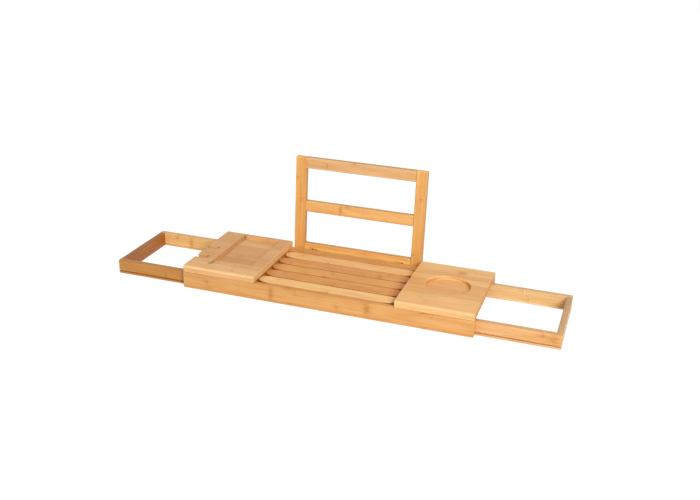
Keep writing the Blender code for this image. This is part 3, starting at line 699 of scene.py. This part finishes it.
class Shape(Tree):
    """A Geometry Nodes tree that sets out copies of a model. A modifier fills in its inputs."""

    def __init__(self, name):
        super().__init__(bpy.data.node_groups.new(name, "GeometryNodeTree"))
        for way in ("INPUT", "OUTPUT"):
            self.graph.interface.new_socket("Geometry", in_out=way, socket_type="NodeSocketGeometry")
        self.entry = self.graph.nodes.new("NodeGroupInput")
        self.identifiers = {}
        model = self.input("Model", "NodeSocketObject")
        self.one = self.add("GeometryNodeObjectInfo", None, {"Object": model})["Geometry"]
        self.seed = self.input("Seed", "NodeSocketInt")

    def input(self, name, kind):
        made = self.graph.interface.new_socket(name, in_out="INPUT", socket_type=kind)
        self.identifiers[name] = made.identifier
        return Wire(self, self.entry.outputs[name])

    def end(self, geometry, finish):
        """Makes the copies real, gives them their material, and closes the tree."""
        real = self.add("GeometryNodeRealizeInstances", None, {"Geometry": geometry})
        done = self.add("GeometryNodeSetMaterial", None, {"Geometry": real, "Material": finish})
        self.add("NodeGroupOutput", None, {"Geometry": done})

    def grow(self, name, values, start=None):
        """Runs the tree with these values and gives the result as a plain piece at the origin."""
        host = link(name + " grower", start or bpy.data.meshes.new(name + " start"))
        modifier = host.modifiers.new("grow", "NODES")
        modifier.node_group = self.graph
        for key, value in values.items():
            modifier[self.identifiers[key]] = value
        mesh = baked(host)
        mesh.name = name
        bpy.data.objects.remove(host)
        return link(name, mesh)


def row_of_copies(name, finish):
    """A tree that sets copies in a row, each with a tone of its own."""
    shape = Shape(name)
    count = shape.input("Count", "NodeSocketInt")
    spacing = shape.input("Spacing", "NodeSocketVector")
    line = shape.add("GeometryNodeMeshLine", {"mode": "OFFSET"}, {"Count": count, "Offset": spacing})
    copies = shape.add("GeometryNodeInstanceOnPoints", None, {"Points": line, "Instance": shape.one})
    random = shape.add("FunctionNodeRandomValue", {"data_type": "FLOAT"}, {"Seed": shape.seed})
    chance = random[1]  # the output for one number
    settings = {"data_type": "FLOAT", "domain": "INSTANCE"}
    values = {"Geometry": copies, "Name": "tone", "Value": chance}
    shape.end(shape.add("GeometryNodeStoreNamedAttribute", settings, values), finish)
    return shape


slat_names = [f"slat_{i + 1}" for i in range(5)]
slat_boxes = [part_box(name) for name in slat_names]
slat_pitch = slat_boxes[1][0].y - slat_boxes[0][0].y
for kind, chosen in (("pale", (0, 4)), ("dark", (1, 2, 3))):
    low, high = slat_boxes[chosen[0]]
    origin = (0, low.y - BOARD_MARGIN, high.z + BOARD_MARGIN)
    look = {"strip": slat_pitch, "seed": SLAT_GRAIN_SEED, "edge": SLAT_GAP_SHADE, "toned": True}
    finish = bamboo(kind + " slat", origin=origin, **look, **SLAT_LOOKS[kind])
    model = link_mesh(kind + " slat model", slat_shape(low, high), finish)
    spacing = (0, slat_pitch * (chosen[1] - chosen[0]), 0)
    values = {"Model": model, "Count": len(chosen), "Spacing": spacing, "Seed": SLAT_TONE_SEED}
    slats = row_of_copies(kind + " slat row", finish).grow(kind + "_slats", values)
    bpy.data.objects.remove(model)
    settle(keep_flats(slats), "body", kind + "_slat_bamboo", *[slat_names[i] for i in chosen])


# Battens
# Cross pieces under the tray: one in the middle, stepped ones that carry the ends of the slats, and
# ones further out that the arms' pins come to rest on. They are glued and screwed from below.
# painted shade: the slat cleats get a dark colour for the shadow seen down the gaps at the slats' ends
SLAT_CLEAT_SHADE_COLOUR = (184, 122, 32)
CROSSWAYS = (0, 0, math.pi / 2)  # turns the grain across the tray
for name, seed, colour in (
    ("centre_batten", 31, HIDDEN_COLOUR),
    ("left_slat_cleat", 32, SLAT_CLEAT_SHADE_COLOUR),
    ("right_slat_cleat", 33, SLAT_CLEAT_SHADE_COLOUR),
    ("left_stop_cleat", 34, HIDDEN_COLOUR),
    ("right_stop_cleat", 35, HIDDEN_COLOUR),
):
    low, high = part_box(name)
    origin = (high.x + BOARD_MARGIN, 0, high.z + BOARD_MARGIN)
    refinish(bamboo(name, colour, origin, CROSSWAYS, seed=seed), name)


# End decks
# Two thick boards across the rails, with their front and back edges well rounded. A router has cut
# a recess for a phone, a slot that stands one up and two slots for glass stems into the left one,
# and a round seat for a mug into the right one.
DECK_LOOKS = {
    "left_deck": {
        "colour": (226, 170, 105),
        "seed": 41,
        # painted light: front, back and end faces paler than the top, for how light falls on them
        "edge": (1.08, 1.16, 1.34),
        "ends": (1.0, 1.10, 1.32),
        "dark": (2, 4),  # strips, counted from nought at the front
        "pale": (0, 0),
        "knots_and_shade_lines": ((-0.231, 0.1015, 0.0070, 0.0080),),
        "ringed": 0.5,  # how much of the stem's rings is left to see
    },
    "right_deck": {
        "colour": (236, 178, 109),
        "seed": 57,
        # painted light and shade: front and back faces paler, ends and the cup's cross walls darker
        "edge": (0.94, 1.07, 1.24),
        "ends": (0.88, 0.80, 0.64),
        "pale": (0, 0),
        "knots_and_shade_lines": ((0.250, 0.184, 0.0095, 0.0095),),
        "ringed": 0.3,
    },
}
DECK_STRIP = 0.0242
DECK_NOSE = 0.0050
DECK_NOSE_STEPS = 8
DECK_END_ROUNDING = 0.0016
DECK_BOTTOM_ROUNDING = 0.0010
DECK_CORNER = 0.0020
ROUTED_RIM = 0.0011
ROUTED_FLOOR = 0.0008
ROUTER_OVERRUN = 0.0030
POCKET_STEPS = 8
SAME_PLACE = 1e-5
RECESS_INNER_INSET = 0.0275
RECESS_FRONT_INSET = 0.046
RECESS_BACK_INSET = 0.017
RECESS_DEPTH = 0.0062
RECESS_CORNER = 0.005
# painted shade and light at the feet of the recess's walls
RECESS_FOOT_SHADE = 0.9
STAND_SLOT_INSET = 0.044
STAND_SLOT_WIDTH = 0.010
STAND_SLOT_FRONT_INSET = 0.029
STAND_SLOT_BACK_INSET = 0.014
STAND_SLOT_DEPTH = 0.0105
# painted shade and light at the feet of the slot's walls
STAND_SLOT_FOOT_SHADE = 1.3
# spots of painted shade at the two ends of the standing slot
STAND_SLOT_FRONT_SHADE = (0.0040, 0.0045)
STAND_SLOT_BACK_SHADE = (0.0050, 0.0050)
GLASS_SLOT_WIDTH = 0.015
GLASS_SLOT_LENGTH = 0.0285
GLASS_SLOT_FLARE = 0.0025
GLASS_SLOT_INSETS = (0.062, 0.114)
GLASS_SLOT_STEPS = 16
# painted shade and light at the feet of the glass slots' walls
GLASS_SLOT_FOOT_SHADE = 1.0
# spots of painted shade at the round ends of the glass slots, placed by the next three
GLASS_SLOT_SHADE = (0.0040, 0.0035)
GLASS_SLOT_SHADE_SHIFT = 0.005  # to the back of the slot's middle
SHADE_INSET = 0.003  # from a slot's end
SHADE_SHIFT = 0.001  # to the left of the standing slot's middle
CUP_RADIUS = 0.046
CUP_DEPTH = 0.0080
CUP_RIM = 0.0030
CUP_OUTWARD_SHIFT = 0.0018
CUP_BACKWARD_SHIFT = 0.0040
CUP_SIDES = 96
# painted shade and light at the feet of the cup's walls
CUP_FOOT_SHADE = 1.3


def deck_shape(low, high):
    """The board's plan, drawn in towards the top by one rounding at the front and back and by a
    smaller one at the ends."""

    def ring(end_inset, nose_inset, z):
        inner_low = (low.x + end_inset, low.y + nose_inset)
        inner_high = (high.x - end_inset, high.y - nose_inset)
        return rounded_rectangle(inner_low, inner_high, DECK_CORNER), z

    rings = [ring(inset, inset, low.z + drop) for inset, drop in quarter(DECK_BOTTOM_ROUNDING)[::-1]]
    for nose_inset, drop in quarter(DECK_NOSE, DECK_NOSE_STEPS):
        rise = DECK_NOSE - drop
        above = max(0.0, rise - (DECK_NOSE - DECK_END_ROUNDING))
        end_inset = DECK_END_ROUNDING - math.sqrt(max(0.0, DECK_END_ROUNDING**2 - above**2))
        rings.append(ring(end_inset, nose_inset, high.z - drop))
    return raised(rings)


def rim_levels(top, rim=ROUTED_RIM):
    """Pairs of (outset, height) up a routed rim and past the face."""
    return [(inset, top - drop) for inset, drop in quarter(rim)] + [(rim, top + ROUTER_OVERRUN)]


def routed_levels(top, depth, rim=ROUTED_RIM):
    """Pairs of (outset, height) up a routed wall, from its floor to past its rim."""
    floor_levels = [(-inset, top - depth + drop) for inset, drop in quarter(ROUTED_FLOOR)[::-1]]
    return floor_levels + rim_levels(top, rim)


def routed_pocket(name, low, high, corner, top, depth):
    """The solid that a router bit sweeps: round at the floor and flared at the rim."""
    plans = []
    for outset, z in routed_levels(top, depth):
        near = (low[0] - outset, low[1] - outset)
        far = (high[0] + outset, high[1] + outset)
        plans.append((rounded_rectangle(near, far, corner + outset, POCKET_STEPS), z))
    return link_mesh(name, raised(plans), None)


def glass_slot(name, edge, centre_y, bottom, top):
    """A slot through the board from its edge, with a round end, a flared mouth and eased rims."""
    half = GLASS_SLOT_WIDTH / 2
    flare = GLASS_SLOT_FLARE
    end = (edge + GLASS_SLOT_LENGTH - half, centre_y)
    front, back = centre_y - half - flare, centre_y + half + flare
    lower = [(outset, bottom - height) for outset, height in rim_levels(0)[::-1]]
    plans = []
    for outset, z in lower + rim_levels(top):
        plan = (
            [(edge - ROUTER_OVERRUN, front)]
            + arc((edge + flare, front), flare - outset, 180, 90)
            + arc(end, half + outset, -90, 90, GLASS_SLOT_STEPS)
            + arc((edge + flare, back), flare - outset, 270, 180)
            + [(edge - ROUTER_OVERRUN, back)]
        )
        plans.append((plan, z))
    return link_mesh(name, raised(plans), None)


def circle(centre, radius, sides):
    """A regular polygon with this many sides."""
    return arc(centre, radius, 0, 360, sides)[:-1]


def cup_seat(name, centre, top):
    """The round seat as a solid, with a wider rim than the other cuts have."""
    levels = routed_levels(top, CUP_DEPTH, CUP_RIM)
    plans = [(circle(centre, CUP_RADIUS + outset, CUP_SIDES), z) for outset, z in levels]
    return link_mesh(name, raised(plans), None)


def routed(board, cutters, feet=()):
    """Cuts the board and bakes the cuts into its mesh. The feet give the height of each cut wall's
    foot and how strong the painted shade and light get down to it, which is kept on the vertices there."""
    for cutter in cutters:
        cutting = board.modifiers.new(cutter.name, "BOOLEAN")
        cutting.object = cutter
    mesh = baked(board)
    board.modifiers.clear()
    board.data = mesh
    foot = mesh.attributes.new("foot", "FLOAT", "POINT")
    for vertex in mesh.vertices:
        foot_shades = [stain_or_shade for height, stain_or_shade in feet if abs(vertex.co.z - height) < SAME_PLACE]
        foot.data[vertex.index].value = max(foot_shades, default=0.0)
    for cutter in cutters:
        bpy.data.objects.remove(cutter)
    smooth(mesh)
    return board


def deck(name, slot_end_shades=()):
    """A deck before it is routed, in its own bamboo."""
    low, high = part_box(name)
    origin = (0, low.y - BOARD_MARGIN, high.z + BOARD_MARGIN)
    finish = bamboo(name, origin=origin, strip=DECK_STRIP, slot_end_shades=slot_end_shades, **DECK_LOOKS[name])
    return link_mesh(name + "_board", deck_shape(low, high), finish)


low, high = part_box("left_deck")
slot_left = low.x + STAND_SLOT_INSET
slot_right = slot_left + STAND_SLOT_WIDTH
slot_middle = (slot_left + slot_right) / 2
slot_front = low.y + STAND_SLOT_FRONT_INSET
slot_back = high.y - STAND_SLOT_BACK_INSET
stem_end = low.x + GLASS_SLOT_LENGTH
# spots of painted shade at the ends of the slots
slot_end_shades = [
    (slot_middle - SHADE_SHIFT, slot_front - low.y + SHADE_INSET, *STAND_SLOT_FRONT_SHADE),
    (slot_middle, slot_back - low.y - SHADE_INSET, *STAND_SLOT_BACK_SHADE),
]
for inset in GLASS_SLOT_INSETS:
    slot_end_shades.append((stem_end - SHADE_INSET, inset + GLASS_SLOT_SHADE_SHIFT, *GLASS_SLOT_SHADE))
left_board = deck("left_deck", slot_end_shades)

recess_right = high.x - RECESS_INNER_INSET
recess = (slot_middle, low.y + RECESS_FRONT_INSET), (recess_right, high.y - RECESS_BACK_INSET)
stand = (slot_left, slot_front), (slot_right, slot_back)
cutters = [
    routed_pocket("phone recess", *recess, RECESS_CORNER, high.z, RECESS_DEPTH),
    routed_pocket("standing slot", *stand, STAND_SLOT_WIDTH / 2, high.z, STAND_SLOT_DEPTH),
]
for i, inset in enumerate(GLASS_SLOT_INSETS):
    cutters.append(glass_slot(f"glass slot {i}", low.x, low.y + inset, low.z, high.z))
# heights of the walls' feet and how strong the painted shade and light there are
feet = [
    (high.z - RECESS_DEPTH + ROUTED_FLOOR, RECESS_FOOT_SHADE),
    (high.z - STAND_SLOT_DEPTH + ROUTED_FLOOR, STAND_SLOT_FOOT_SHADE),
    (low.z + ROUTED_RIM, GLASS_SLOT_FOOT_SHADE),
]
settle(keep_flats(routed(left_board, cutters, feet)), "body", "deck_bamboo", "left_deck")

right_board = deck("right_deck")
low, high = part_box("right_deck")
seat_centre = ((low.x + high.x) / 2 + CUP_OUTWARD_SHIFT, (low.y + high.y) / 2 + CUP_BACKWARD_SHIFT)
seat = cup_seat("cup seat", seat_centre, high.z)
feet = [(high.z - CUP_DEPTH + ROUTED_FLOOR, CUP_FOOT_SHADE)]
settle(keep_flats(routed(right_board, [seat], feet)), "body", "deck_bamboo", "right_deck")


# Sliding arms
# Each is a frame of two rails and an end bar, let into each other and glued. A groove low on the
# outside of each rail slides on a runner in the tray's rail. A pin at its inner end stops it.
ARM_COLOURS = {
    "left_arm_front": (205, 144, 68),
    "left_arm_rear": (243, 190, 117),
    "left_arm_end": (170, 101, 30),
    "right_arm_front": (227, 174, 113),
    "right_arm_rear": (240, 200, 141),
    "right_arm_end": (216, 174, 118),
}
ARM_KNOTS = {
    "left_arm_rear": ((-0.401, 0.0145, 0.0055, 0.0140),),
    "right_arm_front": ((0.470, 0.0190, 0.0120, 0.0090), (0.447, 0.0230, 0.0120, 0.0030)),
}
ARM_EDGE = (0.82, 0.78, 0.80)
ARM_STRIP = 0.0140
ARM_ROUNDING = 0.0013
ARM_SEEDS = {"left": 71, "right": 83}
END_SEED_STEP = 5
ON_EDGE_CROSSWAYS = (math.pi / 2, 0, math.pi / 2)
for side, seed in ARM_SEEDS.items():
    for place, open_to in (("front", FORWARD), ("rear", BACKWARD)):
        name = f"{side}_arm_{place}"
        low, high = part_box(name)
        origin = (0, low.y - BOARD_MARGIN, low.z)
        look = (origin, ON_EDGE, ARM_STRIP, seed + open_to, ARM_EDGE)
        finish = bamboo(name, ARM_COLOURS[name], *look, knots_and_shade_lines=ARM_KNOTS.get(name, ()))
        rail = grooved_board(name, place + "_runner", open_to, finish)
        settle(rail, side + "_arm", "arm_bamboo", name)
    name = side + "_arm_end"
    low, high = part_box(name)
    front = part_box(side + "_arm_front")[1].y
    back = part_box(side + "_arm_rear")[0].y
    section = rounded_rectangle((low.x, low.z), (high.x, high.z), ARM_ROUNDING)
    origin = (low.x - BOARD_MARGIN, 0, low.z)
    look = (origin, ON_EDGE_CROSSWAYS, ARM_STRIP, seed + END_SEED_STEP, ARM_EDGE)
    finish = bamboo(name, ARM_COLOURS[name], *look)
    bar = link_mesh(name + "_board", swept(section, "Y", front, back, ease=0), finish)
    settle(keep_flats(bar), side + "_arm", "arm_bamboo", name)


# Book rest
# A frame of two uprights and three rails, tenoned and glued, its edges rounded over once it was
# together. It stands behind the tray on two hinges and leans back a little against their leaves.
REST_COLOURS = {
    "rest_left_stile": (234, 174, 96),
    "rest_right_stile": (232, 178, 102),
    # painted light: lighter than the other pieces, against the shade that falls on it low down
    "rest_bottom_rail": (248, 188, 108),
    "rest_middle_rail": (238, 183, 109),
    "rest_top_rail": (228, 181, 123),
}
REST_KNOTS = {
    "rest_left_stile": ((0.116, 0.0128, 0.0050, 0.0120),),
    "rest_right_stile": ((0.190, 0.0128, 0.0060, 0.0120),),
    "rest_middle_rail": ((-0.042, 0.0126, 0.0038, 0.0120),),
}
REST_EDGE = (0.72, 0.66, 0.62)
REST_STRIP = 0.0128
REST_LEAN = math.radians(2.9)
REST_ROUNDING = 0.0020
UP_A_STILE = (math.pi / 2, -math.pi / 2, 0)

hinge_joint = next(joint for joint in frame["joints"] if joint["name"] == "book_rest_hinge")
upright_frame = Matrix.Translation(hinge_joint["pos_m"]) @ Matrix.Rotation(-REST_LEAN, 4, "X")


def box_in_rest(node):
    """A node's corners in the frame of the rest, which leans back with it from the hinge."""
    back = upright_frame.inverted()
    points = [back @ vertex.co for vertex in frame["nodes"][node].data.vertices]
    low = Vector([min(p[i] for p in points) for i in range(3)])
    return low, Vector([max(p[i] for p in points) for i in range(3)])


def rest_finish(name, along, low, seed):
    """Bamboo with its grain up an upright or along a rail, leaning back with the rest."""
    turn = upright_frame.to_3x3() @ Euler(along).to_matrix()
    origin = upright_frame @ (low - Vector((BOARD_MARGIN, BOARD_MARGIN, 0)))
    look = (tuple(origin), tuple(turn.to_euler()), REST_STRIP, seed, REST_EDGE)
    return bamboo(name, REST_COLOURS[name], *look, knots_and_shade_lines=REST_KNOTS.get(name, ()))


def place_in_rest(piece):
    piece.data.transform(upright_frame)
    return piece


for name, seed in (("rest_left_stile", 101), ("rest_right_stile", 107)):
    low, high = box_in_rest(name)
    section = rounded_rectangle((low.x, low.y), (high.x, high.y), REST_ROUNDING)
    upright_bar = swept(section, "Z", low.z, high.z, REST_ROUNDING)
    stile = link_mesh(name + "_board", upright_bar, rest_finish(name, UP_A_STILE, low, seed))
    settle(keep_flats(place_in_rest(stile)), "book_rest", "rest_bamboo", name)

stile_low, stile_high = box_in_rest("rest_left_stile")
inner_right = box_in_rest("rest_right_stile")[0].x
for name, seed in (("rest_bottom_rail", 113), ("rest_middle_rail", 117), ("rest_top_rail", 123)):
    low, high = box_in_rest(name)
    section = rounded_rectangle((stile_low.y, low.z), (stile_high.y, high.z), REST_ROUNDING)
    level_bar = swept(section, "X", stile_high.x, inner_right, ease=0)
    finish = rest_finish(name, ON_EDGE, Vector((0, stile_low.y, low.z)), seed)
    rail = link_mesh(name + "_board", level_bar, finish)
    settle(keep_flats(place_in_rest(rail)), "book_rest", "rest_bamboo", name)


# Hinges and screws
# Two butt hinges of aged brass, each with its pin and four countersunk screws, and longer screws of
# the same kind up through the battens. All have a cross in the head and stand turned by chance.
BRASS_COLOUR = (236, 178, 96)
TARNISH_COLOUR = (158, 108, 56)
BRASS_ROUGHNESS = 0.30
ROLLED_ROUGHNESS = 0.12
PATCHY_ROUGHNESS = 0.18
ROLLED_SCALE = (60, 900, 900)  # streaks to a metre along and across
PATCHES_TO_A_METRE = 420.0
LEAF_ROUNDING = 0.0002
FLAT_ANGLE = math.radians(1)
EASED_ANGLE = math.radians(40)
LEAF_SHANK = 0.0010
CLEAT_SHANK = 0.0016
COUNTERSINK_SHARE = 0.55  # of the head's radius, as the three below
CROSS_REACH = 0.62
CROSS_HALF_WIDTH = 0.15
CROSS_DEPTH = 0.42
CROSS_BOTTOM_SHARE = 0.55  # of the cross at its top
HEAD_EDGE = 0.0002
THREAD_PITCH = 0.0013
THREAD_DEPTH = 0.22  # of the shank's radius
SCREW_SIDES = 24
DOWEL_COLOUR = (206, 150, 90)
DOWEL_ROUNDING = 0.0005


def aged_brass(name):
    """Brass gone brown: tarnished in patches, with a faint grain from rolling."""
    brass = Finish(name)
    here = brass.add("ShaderNodeTexCoord")["Object"]
    stretch = brass.add("ShaderNodeMapping", None, {"Vector": here, "Scale": ROLLED_SCALE})
    rolled = brass.add("ShaderNodeTexNoise", None, {"Vector": stretch, "Scale": 1, "Detail": 2})["Fac"]
    spots = {"Vector": here, "Scale": PATCHES_TO_A_METRE, "Detail": 3}
    patches = brass.add("ShaderNodeTexNoise", None, spots)["Fac"]
    tarnished = patches.step(low=0.35, high=0.68)
    colour = brass.mix(tarnished, screen_colour(*BRASS_COLOUR), screen_colour(*TARNISH_COLOUR))
    roughness = BRASS_ROUGHNESS + rolled * ROLLED_ROUGHNESS + patches * PATCHY_ROUGHNESS
    brass.fill(brass.surface, {"Base Color": colour, "Roughness": roughness, "Metallic": 1})
    return brass.material


def eased_copy(node, finish):
    """A piece with the shape of a CAD node and its edges a little rounded."""
    shape = bmesh.new()
    shape.from_mesh(frame["nodes"][node].data)
    bmesh.ops.remove_doubles(shape, verts=shape.verts[:], dist=SAME_POINT)
    bmesh.ops.dissolve_limit(shape, angle_limit=FLAT_ANGLE, verts=shape.verts[:], edges=shape.edges[:])
    piece = link_mesh(node + "_plate", shape, finish)
    easing = piece.modifiers.new("eased edges", "BEVEL")
    easing.width = LEAF_ROUNDING
    easing.segments = 2
    easing.limit_method = "ANGLE"
    easing.angle_limit = EASED_ANGLE
    return keep_flats(piece)


def screw_model(name, head, shank, length, finish):
    """A countersunk screw with its head up at the origin, a cross cut in it and a threaded shank."""
    profile = [(head - HEAD_EDGE, 0), (head, -HEAD_EDGE), (shank, -head * COUNTERSINK_SHARE)]
    root = shank * (1 - THREAD_DEPTH)
    depth = head * COUNTERSINK_SHARE + THREAD_PITCH
    while depth < length - THREAD_PITCH:
        profile += [(root, -depth), (shank, -depth - THREAD_PITCH / 2)]
        depth += THREAD_PITCH
    profile.append((HEAD_EDGE, -length))
    plans = [(circle((0, 0), radius, SCREW_SIDES), z) for radius, z in profile]
    screw = link_mesh(name, raised(plans), finish)
    reach, half = head * CROSS_REACH, head * CROSS_HALF_WIDTH
    arm = [(reach, -half), (reach, half), (half, half)]
    spins = [Matrix.Rotation(math.pi / 2 * turn, 2) for turn in range(4)]
    cross = [spin @ Vector(point) for spin in spins for point in arm]
    levels = ((CROSS_BOTTOM_SHARE, -head * CROSS_DEPTH), (1, 0), (1, head))
    plans = [([point * share for point in cross], z) for share, z in levels]
    return routed(screw, [link_mesh(name + " cross", raised(plans), None)])


def copies_on_points(name, finish):
    """A tree that sets a copy on each point, all in one stance, each spun by chance."""
    shape = Shape(name)
    stance = shape.input("Stance", "NodeSocketVector")
    limits = {"Min": (0, 0, 0), "Max": (0, 0, 2 * math.pi), "Seed": shape.seed}
    spin = shape.add("FunctionNodeRandomValue", {"data_type": "FLOAT_VECTOR"}, limits)
    turns = {"Rotation": stance, "Rotate By": spin}
    turned = shape.add("FunctionNodeRotateRotation", {"rotation_space": "LOCAL"}, turns)
    points = Wire(shape, shape.entry.outputs["Geometry"])
    values = {"Points": points, "Instance": shape.one, "Rotation": turned}
    shape.end(shape.add("GeometryNodeInstanceOnPoints", None, values), finish)
    return shape


def rod(name, axis, node, rounding, finish):
    """A round bar along X or Y that fills a node's box, with its ends eased."""
    low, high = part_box(node)
    across = low.y + high.y if axis == "X" else low.x + high.x
    outline = circle((across / 2, (low.z + high.z) / 2), (high.z - low.z) / 2, SCREW_SIDES)
    start, end = (low.x, high.x) if axis == "X" else (low.y, high.y)
    return link_mesh(name, swept(outline, axis, start, end, rounding), finish)


brass = aged_brass("aged brass")
for side in ("left", "right"):
    settle(eased_copy(side + "_rail_leaf", brass), "body", "aged_brass", side + "_rail_leaf")
    settle(eased_copy(side + "_rest_leaf", brass), "book_rest", "aged_brass", side + "_rest_leaf")
    pin = rod(side + "_hinge_rod", "X", side + "_hinge_pin", LEAF_ROUNDING, brass)
    settle(pin, "body", "aged_brass", side + "_hinge_pin")

screw_tree = copies_on_points("screw places", brass)
for group, body, tilt, shank, seed in (
    ("cleat", "body", math.pi, CLEAT_SHANK, 3),
    ("rail_leaf", "body", -math.pi / 2, LEAF_SHANK, 5),
    ("rest_leaf", "book_rest", math.pi / 2, LEAF_SHANK, 8),
):
    nodes = [name for name in frame["nodes"] if group in name and name.endswith("screw")]
    measure = box_in_rest if body == "book_rest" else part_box
    outward = Matrix.Rotation(tilt, 3, "X") @ Vector((0, 0, 1))  # the way the heads look
    places = bmesh.new()
    for node in nodes:
        low, high = measure(node)
        places.verts.new((low + high + (high - low) * outward) / 2)
    start = bpy.data.meshes.new(group + " screw places")
    places.to_mesh(start)
    places.free()
    length = abs((high - low).dot(outward))
    model = screw_model(group + " screw model", (high.x - low.x) / 2, shank, length, brass)
    values = {"Model": model, "Stance": (tilt, 0, 0), "Seed": seed}
    screws = screw_tree.grow(group + "_screws", values, start)
    bpy.data.objects.remove(model)
    if body == "book_rest":
        place_in_rest(screws)
    settle(screws, body, "aged_brass", *nodes)

for name in [name for name in frame["nodes"] if "stop_pin" in name]:
    corner = tuple(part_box(name)[0])
    finish = bamboo(name, DOWEL_COLOUR, corner, CROSSWAYS, seed=len(name))
    dowel = rod(name + "_dowel", "Y", name, DOWEL_ROUNDING, finish)
    settle(dowel, name.split("_")[0] + "_arm", "arm_bamboo", name)
